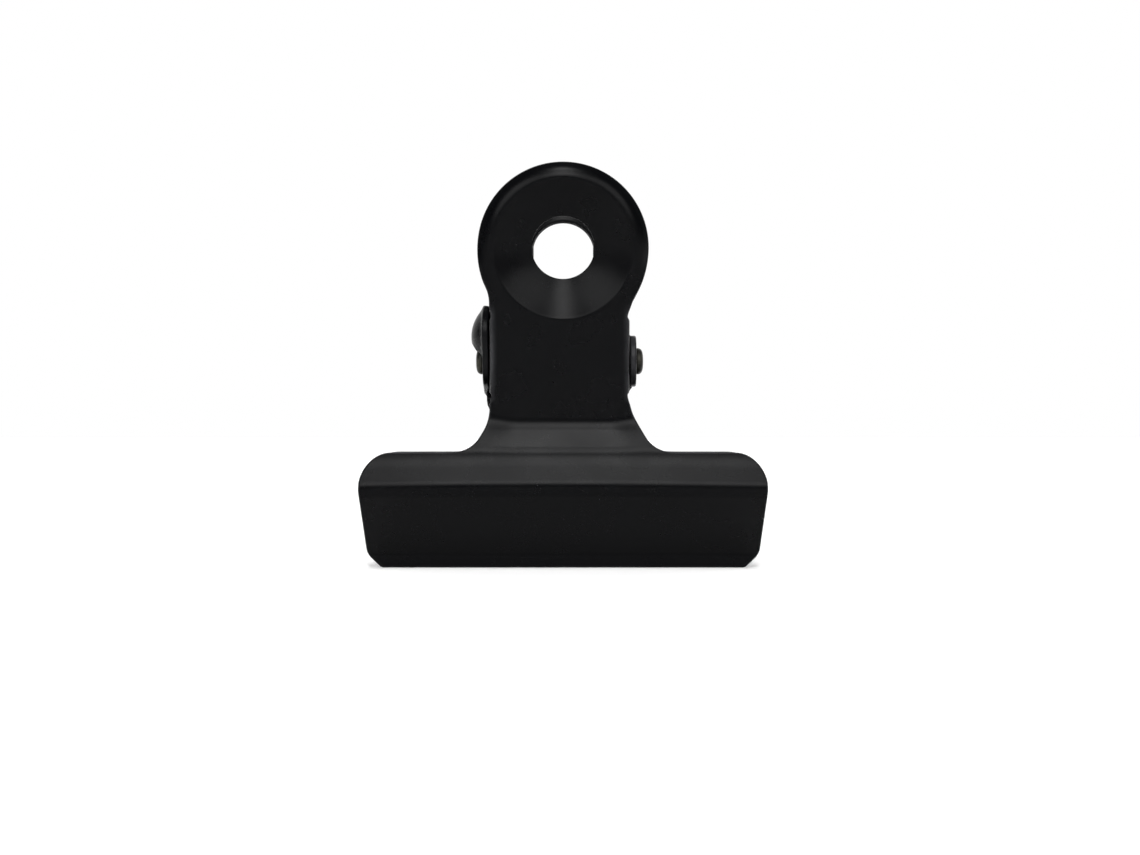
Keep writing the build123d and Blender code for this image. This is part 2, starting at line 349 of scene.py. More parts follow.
def outer_face(plate, x, z):
    """Blank points to points of the front-facing plate's outer face."""
    side = np.where(x < 0, -1.0, 1.0)
    bottom = np.where(x < 0, plate["left_bottom"], plate["right_bottom"])
    top = np.where(x < 0, plate["left_top"], plate["right_top"])
    edge = np.where(x < 0, LEFT_NECK, RIGHT_NECK)
    flat = edge - FOLD
    in_ear = (np.abs(x) > edge) & (z > EAR_BOTTOM - EAR_MARGIN) & (z < top)
    in_ear = in_ear | on_tongue(plate, x, z)
    share = smooth(bottom - FOLD_FADE, bottom, z) * (1.0 - smooth(top, top + FOLD_FADE, z))
    share = np.where(in_ear, 1.0, share)
    start, full, fall, end = [np.where(x < 0, a, b) for a, b in zip(LEFT_JOG_RANGE, RIGHT_JOG_RANGE)]
    rise = np.where(in_ear & (x > 0), 1.0, smooth(start, full, z))
    jog = rise * np.where(in_ear, 1.0, 1.0 - smooth(fall, end, z))
    jog = jog * smooth(flat - JOG_RUN_IN, flat, np.abs(x)) * plate["jog"]
    folded = share > LEAST_FOLD
    curvature = np.maximum(share, LEAST_FOLD) / FOLD
    u = np.where(folded, np.maximum(np.abs(x) - flat, 0.0), 0.0)
    bent = np.minimum(u, FOLD_LENGTH)
    angle = bent * curvature
    outward = np.sin(angle) / curvature + (u - bent) * np.cos(angle)
    inward = (1.0 - np.cos(angle)) / curvature + (u - bent) * np.sin(angle)
    base_x = np.where(folded, np.clip(x, -flat, flat), x)
    push = pressed(plate, x, z)
    px = base_x + side * (outward + jog) - push * side * np.sin(angle)
    py = -sheet_depth(base_x, z) + inward * COS + push * np.cos(angle) * COS
    pz = z + ridge_lift(x, z) + inward * SIN + push * np.cos(angle) * SIN
    return np.stack([px, py, pz], axis=-1)


def fold_rub_and_highlight(x, z):
    """Where the paint is rubbed thin along the folds beside the neck, with a painted highlight that makes the
    left fold lighter than the right.
    """
    along = np.abs(x) - np.where(x < 0, LEFT_NECK, RIGHT_NECK) + FOLD - RUB_AND_HIGHLIGHT_PLACE
    amount = np.where(x < 0, LEFT_RUB_AND_HIGHLIGHT, RIGHT_RUB_AND_HIGHLIGHT) * np.exp(-(along / RUB_AND_HIGHLIGHT_WIDTH) ** 2)
    amount = amount * smooth(EAR_BOTTOM - FOLD_FADE, EAR_BOTTOM, z)
    return amount * (1.0 - smooth(NOTCH_HEIGHT, NOTCH_HEIGHT + RUB_AND_HIGHLIGHT_FADE, z))


def face_normals(plate, x, z, step=0.01):
    """Unit normals of the outer face, from points a small step to each side."""
    along_x = outer_face(plate, x + step, z) - outer_face(plate, x - step, z)
    along_z = outer_face(plate, x, z + step) - outer_face(plate, x, z - step)
    normal = np.cross(along_x, along_z)
    return normal / np.linalg.norm(normal, axis=-1, keepdims=True)


def rounded(points, radii, spacing=0.5, turn_step=math.radians(9.0)):
    """An open polyline with rounded corners, as evenly spaced points."""
    points = [np.array(p, float) for p in points]
    stops = [points[0]]
    for i in range(1, len(points) - 1):
        radius = radii[i - 1]
        before = points[i] - points[i - 1]
        after = points[i + 1] - points[i]
        before = before / np.linalg.norm(before)
        after = after / np.linalg.norm(after)
        turn = math.atan2(before[0] * after[1] - before[1] * after[0], float(before @ after))
        if radius == 0 or abs(turn) < 1e-3:
            stops.append(points[i])
            continue
        side = 1.0 if turn > 0 else -1.0
        length = radius * math.tan(abs(turn) / 2)
        start = points[i] - before * length
        left = side * np.array([-before[1], before[0]])
        centre = start + radius * left
        count = max(2, math.ceil(abs(turn) / turn_step), math.ceil(abs(turn) * radius / spacing))
        for k in range(count + 1):
            swing = abs(turn) * k / count
            stops.append(centre - radius * left * math.cos(swing) + radius * before * math.sin(swing))
    stops.append(points[-1])
    result = [stops[0]]
    for first, last in zip(stops, stops[1:]):
        distance = np.linalg.norm(last - first)
        if distance < 1e-6:
            continue
        count = max(1, math.ceil(distance / spacing))
        for k in range(1, count + 1):
            result.append(first + (last - first) * k / count)
    return result


def hull_chain(points):
    """Convex hull of points, counterclockwise."""
    points = sorted(map(tuple, points))

    def half(items):
        chain = []
        for p in items:
            while len(chain) > 1:
                a, b = chain[-2], chain[-1]
                if (b[0] - a[0]) * (p[1] - a[1]) - (b[1] - a[1]) * (p[0] - a[0]) > 1e-9:
                    break
                chain.pop()
            chain.append(p)
        return chain[:-1]

    return half(points) + half(points[::-1])


def ring(centre, radius, count=72):
    """Points of a circle on the leaning handle, as it lies on the blank."""
    angles = np.linspace(0.0, 2.0 * math.pi, count, endpoint=False)
    return np.stack([centre[0] + radius * np.cos(angles), centre[1] + radius * COS * np.sin(angles)], axis=-1)


def half_outline(half, foot, ear_bottom, ear_top, lobe, swollen):
    """Right half of a blank's outline, from the middle of the lips to the top of the head."""
    root_low = (half, ear_bottom)
    root_high = (half, ear_top)
    spots = [root_low] + list(ring((past_fold(half) + PIN_DEPTH, PIN_FOOT), lobe, LOBE_POINTS))
    if swollen:
        spots = spots + list(ring((past_fold(half) + SWELL_DEPTH, SWELL_FOOT), PAD_RADIUS, LOBE_POINTS))
    else:
        spots = spots + [root_high]
    hull = hull_chain([p for p in spots if p[0] > half - 1e-6])
    start = hull.index(min(hull, key=lambda p: math.dist(p, root_low)))
    ear = hull[start + 1:] + hull[:start]
    if swollen:
        pad_x = past_fold(half) + SWELL_DEPTH
        ear = [p for p in ear if p[0] > pad_x or p[1] > NOTCH_HEIGHT or p[1] < PIN_FOOT]
    else:
        ear = ear[:ear.index(root_high)]
    hollow_v = -math.sqrt((HEAD_RADIUS + HEAD_FILLET) ** 2 - (half + HEAD_FILLET) ** 2)
    on_neck = (half, HEAD_HEIGHT + hollow_v * COS)
    corners = [(0, 0), (LIP_HALF - LIP_SLANT, 0), (LIP_HALF, LIP_CORNER_HEIGHT)]
    corners = corners + [(JAW_HALF, RIDGE_HEIGHT), (JAW_HALF, JAW_TOP)]
    corners = corners + [(foot[0], JAW_TOP), (half, foot[1])]
    radii = [LIP_SLANT_CURVE, LIP_CORNER, JAW_TOP_CORNER / 2, JAW_TOP_CORNER]
    radii = radii + [FOOT_LOW_CURVE, FOOT_HIGH_CURVE]
    corners = corners + [root_low] + ear + [root_high, on_neck]
    radii = radii + [EAR_CORNER] + [0] * len(ear) + [NOTCH_CORNER if swollen else EAR_CORNER]
    line = rounded(corners, radii)
    meet = math.atan2(-hollow_v, -(half + HEAD_FILLET))
    for angle in np.linspace(math.pi, meet, FILLET_POINTS)[1:]:
        x = half + HEAD_FILLET + HEAD_FILLET * math.cos(angle)
        v = hollow_v + HEAD_FILLET * math.sin(angle)
        line.append(np.array([x, HEAD_HEIGHT + v * COS]))
    first = math.atan2(hollow_v, half + HEAD_FILLET)
    for angle in np.linspace(first, math.pi / 2, HEAD_ARC_POINTS)[1:]:
        x = HEAD_RADIUS * math.cos(angle)
        line.append(np.array([x, HEAD_HEIGHT + HEAD_RADIUS * math.sin(angle) * COS]))
    return np.array(line)


def inside(loop, points):
    """Which points lie inside a closed loop."""
    x, z = points[:, 0:1], points[:, 1:2]
    a, b = loop, np.roll(loop, -1, axis=0)
    rises = (a[:, 1] > z) != (b[:, 1] > z)
    drop = np.where(np.abs(b[:, 1] - a[:, 1]) < 1e-12, 1e-12, b[:, 1] - a[:, 1])
    cut = a[:, 0] + (z - a[:, 1]) / drop * (b[:, 0] - a[:, 0])
    return (np.sum(rises & (x < cut), axis=1) % 2) == 1


def loop_normals(loop):
    """Unit directions to the left of a loop, which is the side with the sheet."""
    along = np.roll(loop, -1, axis=0) - np.roll(loop, 1, axis=0)
    along = along / np.linalg.norm(along, axis=1, keepdims=True)
    return np.stack([-along[:, 1], along[:, 0]], axis=-1)


def blank_rows():
    """Heights of the rows of inner points: close together in the bends, wide apart on the flats."""
    rows = list(LIP_ROWS)
    bends = []
    for low, high, _, _, _ in middle_arcs + flare_arcs[-1:]:
        bends.append((low - BEND_REACH, high + BEND_REACH))
        count = max(FEWEST_BEND_STEPS, math.ceil((high - low) / BEND_STEP))
        rows = rows + list(np.linspace(low, high, count + 1))
        rows = rows + [low - BEND_MARGIN, high + BEND_MARGIN]
    rows = rows + list(np.arange(FIRST_FLAT_ROW, HEAD_HEIGHT + HEAD_RADIUS, FLAT_STEP))
    rows = sorted(r for r in rows if r > LOWEST_ROW)
    kept = [rows[0]]
    for r in rows[1:]:
        in_bend = any(low <= r <= high for low, high in bends)
        if r - kept[-1] > (BEND_GAP if in_bend else FLAT_GAP):
            kept.append(r)
    return kept


def grid_points():
    """Points in rows and columns over the jaw, the neck, the folds and the ears."""
    rows = blank_rows()
    points = [(0.0, z) for z in rows]
    for side, edge in ((-1.0, LEFT_NECK), (1.0, RIGHT_NECK)):
        flat = edge - FOLD
        neck_columns = list(np.arange(NECK_STEP, flat - NECK_END, NECK_STEP)) + [flat - NECK_MARGIN, flat]
        fold_columns = list(flat + np.linspace(0.0, FOLD_LENGTH, FOLD_STEPS + 1)[1:])
        ear_columns = list(flat + FOLD_LENGTH + np.arange(EAR_FIRST_COLUMN, EAR_REACH, EAR_STEP))
        jaw_columns = list(np.arange(flat + NECK_STEP, JAW_HALF + JAW_OVERRUN, JAW_STEP))
        for z in rows:
            outer_columns = jaw_columns if z < EAR_BOTTOM - FOLD_FADE else fold_columns
            points = points + [(side * x, z) for x in neck_columns + outer_columns]
        for z in np.arange(EAR_BOTTOM + EAR_FIRST_ROW, SWELL_HEIGHT + PAD_RADIUS, EAR_STEP):
            points = points + [(side * x, z) for x in ear_columns]
    return np.array(points)


def inner_points(loops):
    """Points inside a blank's outline and outside its holes, clear of the rounded edges."""
    points = grid_points()
    off_head = np.hypot(points[:, 0], (points[:, 1] - HEAD_HEIGHT) / COS)
    points = points[off_head > HEAD_RADIUS + HEAD_GAP]
    rings = [ring((0.0, HEAD_HEIGHT), r, HEAD_RING_POINTS) for r in HEAD_RINGS]
    seat = (-past_fold(LEFT_NECK) - PIN_DEPTH, PIN_FOOT)
    off_pin = np.hypot(points[:, 0] - seat[0], (points[:, 1] - seat[1]) / COS)
    points = points[off_pin > SEAT_RINGS[-1] + SEAT_GAP]
    rings = rings + [ring(seat, r, SEAT_RING_POINTS) for r in SEAT_RINGS]
    points = np.concatenate([points] + rings)
    points = points[inside(loops[0], points)]
    for loop in loops[1:]:
        points = points[~inside(loop, points)]
    border = np.concatenate(loops)
    apart = np.empty(len(points))
    for i in range(0, len(points), POINTS_AT_ONCE):
        block = points[i:i + POINTS_AT_ONCE]
        away = np.hypot(block[:, 0:1] - border[:, 0], block[:, 1:2] - border[:, 1])
        apart[i:i + POINTS_AT_ONCE] = np.min(away, axis=1)
    return points[apart > EDGE_ROUNDING + EDGE_GAP]


def plate_loops(plate):
    """A blank's outline, then its holes: one in the head and one in each ear."""
    lobe = plate["lobe"]
    right = half_outline(RIGHT_NECK, RIGHT_FOOT, plate["right_bottom"], plate["right_top"], lobe, False)
    left = half_outline(
        LEFT_NECK, LEFT_FOOT, plate["left_bottom"], plate["left_top"], lobe, plate["swollen"]
    )
    left = left[::-1] * np.array([-1.0, 1.0])
    loops = [np.concatenate([right[:-1], left[:-1]])]
    loops.append(ring((0.0, HEAD_HEIGHT), HOLE_RADIUS)[::-1])
    for pin_x in (-past_fold(LEFT_NECK) - PIN_DEPTH, past_fold(RIGHT_NECK) + PIN_DEPTH):
        loops.append(ring((pin_x, PIN_FOOT), plate["pin_hole"], PIN_HOLE_POINTS)[::-1])
    return loops


def edge_band(loops):
    """Rows of points that round the cut edges, stepping in from each loop.

    Gives their places on the blank, how far they sink below the face, how far their normals lean out,
    which way is out and their wear, and then where each loop's rows start and how long one is.
    """
    blank, sink, lean_out, outward, wear, starts = [], [], [], [], [], []
    total = 0
    for loop in loops:
        normals = loop_normals(loop)
        starts.append((total, len(loop)))
        rubbed = 1.0 if loop is loops[0] else HOLE_RUB
        for q in EDGE_STEPS * EDGE_ROUNDING:
            left_over = EDGE_ROUNDING - q
            blank.append(loop + normals * q)
            sink.append(np.full(len(loop), EDGE_ROUNDING - math.sqrt(EDGE_ROUNDING**2 - left_over**2)))
            lean_out.append(np.full(len(loop), left_over / EDGE_ROUNDING))
            outward.append(-normals)
            wear.append(np.full(len(loop), rubbed * left_over / EDGE_ROUNDING))
            total += len(loop)
    return [np.concatenate(rows) for rows in (blank, sink, lean_out, outward, wear)], starts


def band_faces(starts, count):
    """Faces of the rounded edges on both sides of the sheet, and of the strip between them.

    A side has count points, and a point's number on the far side is that much higher.
    """
    faces = []
    for start, size in starts:
        for k in range(len(EDGE_STEPS) - 1):
            for i in range(size):
                a, b = start + k * size + i, start + k * size + (i + 1) % size
                c, d = b + size, a + size
                faces.append((a, b, c, d))
                faces.append((d + count, c + count, b + count, a + count))
        for i in range(size):
            a, b = start + i, start + (i + 1) % size
            faces.append((b, a, a + count, b + count))
    return faces


def flat_triangles(loops, blank, starts, core_count):
    """Counterclockwise triangles over the blank inside its rounded edges."""
    flat_ids = []
    edges = []
    for start, size in starts:
        last = start + (len(EDGE_STEPS) - 1) * size
        ids = [last + i for i in range(size)]
        flat_ids = flat_ids + ids
        edges = edges + [(ids[i], ids[(i + 1) % size]) for i in range(size)]
    flat_ids = flat_ids + list(range(len(blank) - core_count, len(blank)))
    local = {v: i for i, v in enumerate(flat_ids)}
    cdt = delaunay_2d_cdt(
        [Vector((float(blank[v, 0]), float(blank[v, 1]))) for v in flat_ids],
        [(local[a], local[b]) for a, b in edges], [], 1, 1e-6,
    )
    back = [ids[0] if ids else None for ids in cdt[3]]
    middles = []
    triangles = []
    for face in cdt[2]:
        ids = [flat_ids[back[v]] for v in face]
        p = blank[ids]
        turn = (p[1, 0] - p[0, 0]) * (p[2, 1] - p[0, 1]) - (p[1, 1] - p[0, 1]) * (p[2, 0] - p[0, 0])
        triangles.append(ids if turn > 0 else ids[::-1])
        middles.append(p.mean(axis=0))
    middles = np.array(middles)
    keep = inside(loops[0], middles)
    for loop in loops[1:]:
        keep = keep & ~inside(loop, middles)
    return [ids for ids, good in zip(triangles, keep) if good]


def plate_mesh(name, plate):
    """One pressing: two faces a sheet apart over a flat blank, with rounded cut edges."""
    loops = plate_loops(plate)
    (blank, sink, lean_out, outward, wear), starts = edge_band(loops)
    core = inner_points(loops)
    blank = np.concatenate([blank, core])
    sink = np.concatenate([sink, np.zeros(len(core))])
    lean_out = np.concatenate([lean_out, np.zeros(len(core))])
    outward = np.concatenate([outward, np.tile([1.0, 0.0], (len(core), 1))])
    wear = np.concatenate([wear, np.zeros(len(core))])

    x, z = blank[:, 0], blank[:, 1]
    if plate["swollen"]:
        on_ear = (x < FOLD - LEFT_NECK) & (z > EAR_BOTTOM - FOLD_FADE) & (z < NOTCH_HEIGHT + FOLD_FADE)
        wear = np.where(on_ear, EAR_RUB, 1.0) * wear
    else:
        # Front plate: the folds beside the neck get rubbed paint and a painted highlight, stronger on the
        # left fold.
        wear = np.maximum(wear, fold_rub_and_highlight(x, z))
    place = outer_face(plate, x, z)
    normal = face_normals(plate, x, z)
    nudge = outer_face(plate, x + outward[:, 0] * OUTWARD_STEP, z + outward[:, 1] * OUTWARD_STEP) - place
    nudge = nudge - normal * np.sum(nudge * normal, axis=1, keepdims=True)
    nudge = nudge / np.maximum(np.linalg.norm(nudge, axis=1, keepdims=True), 1e-9)
    upright = np.sqrt(1.0 - lean_out**2)[:, None]
    near = place - normal * sink[:, None]
    far = place - normal * (SHEET - sink)[:, None]
    near_normal = normal * upright + nudge * lean_out[:, None]
    far_normal = -normal * upright + nudge * lean_out[:, None]

    count = len(blank)
    faces = band_faces(starts, count)
    for ids in flat_triangles(loops, blank, starts, len(core)):
        faces.append(tuple(ids))
        faces.append(tuple(v + count for v in ids[::-1]))
    verts = np.concatenate([near, far])
    normals = np.concatenate([near_normal, far_normal])
    if plate["faces_back"]:
        verts = verts * np.array([1.0, -1.0, 1.0])
        normals = normals * np.array([1.0, -1.0, 1.0])
        faces = [f[::-1] for f in faces]
    return add_mesh(name, verts, faces, normals, np.concatenate([wear, wear]))


def add_mesh(name, verts, faces, normals, wear):
    """A smooth piece from points in millimetres, with its wear kept as a point attribute; on the front plate
    this also holds the painted highlight along the folds.
    """
    mesh = bpy.data.meshes.new(name)
    mesh.from_pydata([tuple(v) for v in np.asarray(verts) * MM], [], faces)
    mesh.polygons.foreach_set("use_smooth", [True] * len(mesh.polygons))
    attribute = mesh.attributes.new("wear", "FLOAT", "POINT")
    attribute.data.foreach_set("value", np.asarray(wear, np.float32))
    mesh.update()
    if normals is not None:
        normals = np.asarray(normals)
        normals = normals / np.linalg.norm(normals, axis=1, keepdims=True)
        mesh.normals_split_custom_set_from_vertices([tuple(n) for n in normals])
    piece = bpy.data.objects.new(name, mesh)
    bpy.context.scene.collection.objects.link(piece)
    return piece


def lathe(name, profile, wear, count=48):
    """A turned piece along X from (x, radius) points; the first and last radius are zero."""
    verts = []
    worn = []
    faces = []
    for i, (x, r) in enumerate(profile):
        for k in range(count):
            angle = 2.0 * math.pi * k / count
            verts.append((x, r * math.cos(angle), PIN_HEIGHT + r * math.sin(angle)))
            worn.append(wear[i])
    rows = len(profile)
    for i in range(rows - 1):
        for k in range(count):
            a, b = i * count + k, i * count + (k + 1) % count
            faces.append((a, a + count, b + count, b))
    first, last = len(verts), len(verts) + 1
    verts = verts + [(profile[0][0], 0.0, PIN_HEIGHT), (profile[-1][0], 0.0, PIN_HEIGHT)]
    worn = worn + [wear[0], wear[-1]]
    for k in range(count):
        faces.append((first, k, (k + 1) % count))
        faces.append((last, (rows - 1) * count + (k + 1) % count, (rows - 1) * count + k))
    return add_mesh(name, verts, faces, None, worn)


def pin_mesh():
    """Rivet with two upset heads; the struck ends are slightly domed and worn."""
    halves = []
    for edge in (LEFT_NECK, RIGHT_NECK):
        seat = edge + EAR_JOG
        end = seat + PIN_HEAD_LENGTH
        shape = [(end - back, radius, worn_share) for back, radius, worn_share in STRUCK_END]
        shape = shape + [(seat + out, radius, worn_share) for out, radius, worn_share in HEAD_FOOT]
        halves.append(shape)
    left, right = halves
    profile = [(-x, r) for x, r, _ in left] + [(x, r) for x, r, _ in right[::-1]]
    wear = [w for _, _, w in left] + [w for _, _, w in right[::-1]]
    return lathe("rivet", profile, wear)


def spring_points():
    """Middle line of the wire: up the front handle, round the pin and up the rear handle."""
    face = (WAIST_DEPTH + (PIN_HEIGHT - WAIST_HEIGHT) * TAN) * COS - SHEET
    tip = face - LEG_CLEARANCE - WIRE / 2
    rise = HEAD_HEIGHT - DISH_RADIUS - LEG_BELOW_DISH - PIN_HEIGHT
    leg = math.sqrt(rise**2 + tip**2 - COIL_RADIUS**2)
    angle = LEAN + math.atan2(tip, rise) - math.atan2(COIL_RADIUS, leg)
    sweep = 2.0 * math.pi * COIL_TURNS + math.pi - 2.0 * angle
    half = COIL_PITCH * sweep / (4.0 * math.pi)
    points = []
    count = COIL_STEPS_PER_TURN * COIL_TURNS
    for k in range(count + 1):
        share = k / count
        turn = angle + sweep * share
        ease = share - math.sin(2.0 * math.pi * share) / (2.0 * math.pi) * COIL_EASE
        x = -half + 2.0 * half * ease
        points.append((x, -COIL_RADIUS * math.cos(turn), PIN_HEIGHT - COIL_RADIUS * math.sin(turn)))
    first, last = np.array(points[0]), np.array(points[-1])
    front_leg = np.array([0.0, -math.sin(angle), math.cos(angle)])
    rear_leg = np.array([0.0, math.sin(angle), math.cos(angle)])
    front = [first + front_leg * d for d in np.linspace(leg, 0.0, LEG_POINTS)[:-1]]
    rear = [last + rear_leg * d for d in np.linspace(0.0, leg, LEG_POINTS)[1:]]
    return np.array(front + [np.array(p) for p in points] + rear)


def spring_mesh(sides=16):
    """The wire swept along its middle line, with chamfered ends."""
    path = spring_points()
    along = np.gradient(path, axis=0)
    along = along / np.linalg.norm(along, axis=1, keepdims=True)
    across = np.tile([1.0, 0.0, 0.0], (len(path), 1))
    across = across - along * np.sum(across * along, axis=1, keepdims=True)
    across = across / np.linalg.norm(across, axis=1, keepdims=True)
    up = np.cross(along, across)
    verts, faces, wear = [], [], []
    stations = [(path[0] + along[0] * d, 0, s) for d, s in WIRE_CHAMFER]
    stations = stations + [(path[i], i, 1.0) for i in range(1, len(path) - 1)]
    stations = stations + [(path[-1] - along[-1] * d, len(path) - 1, s) for d, s in WIRE_CHAMFER[::-1]]
    for place, i, scale in stations:
        for k in range(sides):
            angle = 2.0 * math.pi * k / sides
            out = across[i] * math.cos(angle) + up[i] * math.sin(angle)
            verts.append(place + out * WIRE / 2 * scale)
            wear.append(0.0)
    rows = len(stations)
    for i in range(rows - 1):
        for k in range(sides):
            a, b = i * sides + k, i * sides + (k + 1) % sides
            faces.append((a, b, b + sides, a + sides))
    first, last = len(verts), len(verts) + 1
    verts = verts + [stations[0][0], stations[-1][0]]
    wear = wear + [1.0, 1.0]
    for k in range(sides):
        faces.append((first, (k + 1) % sides, k))
        faces.append((last, (rows - 1) * sides + k, (rows - 1) * sides + (k + 1) % sides))
    return add_mesh("closing_spring", verts, faces, None, wear)


def material(name):
    """A new material with one shader, its node tree and its texture coordinates."""
    made = bpy.data.materials.new(name)
    made.use_nodes = True
    nodes, links = made.node_tree.nodes, made.node_tree.links
    nodes.clear()
    output = nodes.new("ShaderNodeOutputMaterial")
    shader = nodes.new("ShaderNodeBsdfPrincipled")
    links.new(shader.outputs["BSDF"], output.inputs["Surface"])
    place = nodes.new("ShaderNodeTexCoord")
    return made, nodes, links, shader, place


def noise(nodes, links, place, scale, detail):
    grain = nodes.new("ShaderNodeTexNoise")
    grain.inputs["Scale"].default_value = scale
    grain.inputs["Detail"].default_value = detail
    links.new(place.outputs["Object"], grain.inputs["Vector"])
    return grain.outputs["Fac"]


def ranged(nodes, links, source, low, high, start=0.3, end=0.7):
    """The source brought from start and end to low and high."""
    scale = nodes.new("ShaderNodeMapRange")
    scale.inputs["From Min"].default_value = start
    scale.inputs["From Max"].default_value = end
    scale.inputs["To Min"].default_value = low
    scale.inputs["To Max"].default_value = high
    links.new(source, scale.inputs["Value"])
    return scale.outputs["Result"]


def product(nodes, links, first, second):
    times = nodes.new("ShaderNodeMath")
    times.operation = "MULTIPLY"
    links.new(first, times.inputs[0])
    links.new(second, times.inputs[1])
    return times.outputs["Value"]


def mixed(nodes, links, share, low, high):
    """A colour between two, by a share."""
    mix = nodes.new("ShaderNodeMix")
    mix.data_type = "RGBA"
    mix.inputs["A"].default_value = low
    mix.inputs["B"].default_value = high
    links.new(share, mix.inputs["Factor"])
    return mix.outputs["Result"]


def grained(nodes, links, shader, height, strength, distance):
    """A fine bump on a shader."""
    bump = nodes.new("ShaderNodeBump")
    bump.inputs["Strength"].default_value = strength
    bump.inputs["Distance"].default_value = distance
    links.new(height, bump.inputs["Height"])
    links.new(bump.outputs["Normal"], shader.inputs["Normal"])


def worn(nodes, links):
    """The wear that add_mesh stored on the points, with the painted highlight along the front plate's folds.
    """
    attribute = nodes.new("ShaderNodeAttribute")
    attribute.attribute_name = "wear"
    return attribute.outputs["Fac"]


def black_paint():
    made, nodes, links, shader, place = material("satin_black_paint")
    fine = noise(nodes, links, place, 2600.0, 2.0)
    broad = noise(nodes, links, place, 210.0, 4.0)
    patch = product(nodes, links, worn(nodes, links), ranged(nodes, links, broad, 0.25, 1.0, 0.36, 0.62))
    # Lighter where the wear attribute is high: rubbed paint at the cut edges and folds, and a painted
    # highlight along the front plate's folds.
    colour = mixed(nodes, links, patch, (0.0012, 0.0013, 0.0017, 1.0), (0.036, 0.036, 0.039, 1.0))
    links.new(colour, shader.inputs["Base Color"])
    links.new(ranged(nodes, links, broad, 0.25, 0.31), shader.inputs["Roughness"])
    shader.inputs["Specular IOR Level"].default_value = 0.078
    grained(nodes, links, shader, fine, 0.10, 0.00003)
    return made


def pin_steel():
    made, nodes, links, shader, place = material("blackened_rivet")
    fine = noise(nodes, links, place, 2200.0, 3.0)
    broad = noise(nodes, links, place, 700.0, 3.0)
    patch = product(nodes, links, worn(nodes, links), ranged(nodes, links, broad, 0.0, 1.0, 0.45, 0.6))
    colour = mixed(nodes, links, patch, (0.007, 0.007, 0.0055, 1.0), (0.09, 0.087, 0.07, 1.0))
    links.new(colour, shader.inputs["Base Color"])
    links.new(ranged(nodes, links, patch, 0.0, 0.9, 0.0, 1.0), shader.inputs["Metallic"])
    links.new(ranged(nodes, links, broad, 0.36, 0.5), shader.inputs["Roughness"])
    shader.inputs["Specular IOR Level"].default_value = 0.13
    grained(nodes, links, shader, fine, 0.15, 0.00003)
    return made


def spring_steel():
    made, nodes, links, shader, place = material("drawn_spring_wire")
    fine = noise(nodes, links, place, 1500.0, 3.0)
    broad = noise(nodes, links, place, 300.0, 3.0)
    tone = ranged(nodes, links, broad, 0.0, 1.0)
    colour = mixed(nodes, links, tone, (0.36, 0.36, 0.37, 1.0), (0.46, 0.46, 0.465, 1.0))
    links.new(colour, shader.inputs["Base Color"])
    shader.inputs["Metallic"].default_value = 1.0
    links.new(ranged(nodes, links, fine, 0.26, 0.38), shader.inputs["Roughness"])
    grained(nodes, links, shader, fine, 0.12, 0.00002)
    return made


front = plate_mesh("front_pressing", {
    "jog": 0.0, "lobe": FRONT_LOBE,
    "left_bottom": EAR_BOTTOM, "left_top": FRONT_EAR_TOP,
    "right_bottom": EAR_BOTTOM, "right_top": FRONT_EAR_TOP,
    "pin_hole": PIN_RADIUS + PIN_CLEARANCE, "swollen": False, "faces_back": False,
})
rear = plate_mesh("rear_pressing", {
    "jog": EAR_JOG, "lobe": REAR_LOBE,
    "left_bottom": EAR_BOTTOM, "left_top": NOTCH_HEIGHT - NOTCH_DROP,
    "right_bottom": RIGHT_EAR_BOTTOM, "right_top": RIGHT_EAR_TOP,
    "pin_hole": PIN_RADIUS, "swollen": True, "faces_back": True,
})
rivet = pin_mesh()
spring = spring_mesh()

paint = black_paint()
finishes = [
    (front, "front", "front_plate", "black_paint", paint),
    (rear, "rear", "rear_plate", "black_paint", paint),
    (rivet, "rear", "hinge_pin", "pin_steel", pin_steel()),
    (spring, None, "torsion_spring", "spring_steel", spring_steel()),
]
for piece, body, node, slot, finish in finishes:
    piece.data.materials.append(finish)
    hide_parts(node)
    if body:
        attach(piece, body)
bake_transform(spring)


# Stage: a pale floor that runs to a white backdrop, a tall bank of soft lights and one at each side.
STAGE_HALF = 6.0
BACKDROP_Y = 3.0
# Each lamp's name, energy, turn about the clip, height above the floor and spread, the angles in degrees.
LIGHTS = [
    ("front_1", 0.44, 0.0, 27.0, 16.0),
    ("front_2", 0.55, 0.0, 37.5, 16.0),
    ("front_3", 0.39, 0.0, 48.0, 15.0),
    ("front_4", 0.25, 0.0, 58.5, 15.0),
    ("front_5", 0.72, 0.0, 69.0, 15.0),
    ("left", 1.21, -37.0, 27.0, 36.0),
    ("right", 1.01, 36.0, 27.0, 36.0),
]
# What the floor lacks of white under these lamps.
FLOOR_GLOW = 0.11
ROOM_LIGHT = 0.12
CAMERA_X = 0.85
CAMERA_HEIGHT = 17.5
CAMERA_DISTANCE = 262.0
LENS_PIXELS = 2092.0
PICTURE_WIDTH = 1140.0
SENSOR = 36.0
CLIP_START = 0.01
CLIP_END = 50.0

scene = bpy.context.scene
scene.view_settings.view_transform = "Standard"


def plane(name, corners, finish):
    """A flat piece of the stage."""
    mesh = bpy.data.meshes.new(name)
    mesh.from_pydata(corners, [], [(0, 1, 2, 3)])
    mesh.materials.append(finish)
    made = bpy.data.objects.new(name, mesh)
    scene.collection.objects.link(made)
    return made


def pale(name, grain_scale):
    """A matt near white with a faint grain."""
    made, nodes, links, shader, place = material(name)
    grain = noise(nodes, links, place, grain_scale, 2.0)
    tint = mixed(nodes, links, grain, (0.90, 0.90, 0.90, 1.0), (0.92, 0.92, 0.92, 1.0))
    links.new(tint, shader.inputs["Base Color"])
    shader.inputs["Roughness"].default_value = 0.9
    shader.inputs["Specular IOR Level"].default_value = 0.0
    return made, nodes, links, shader


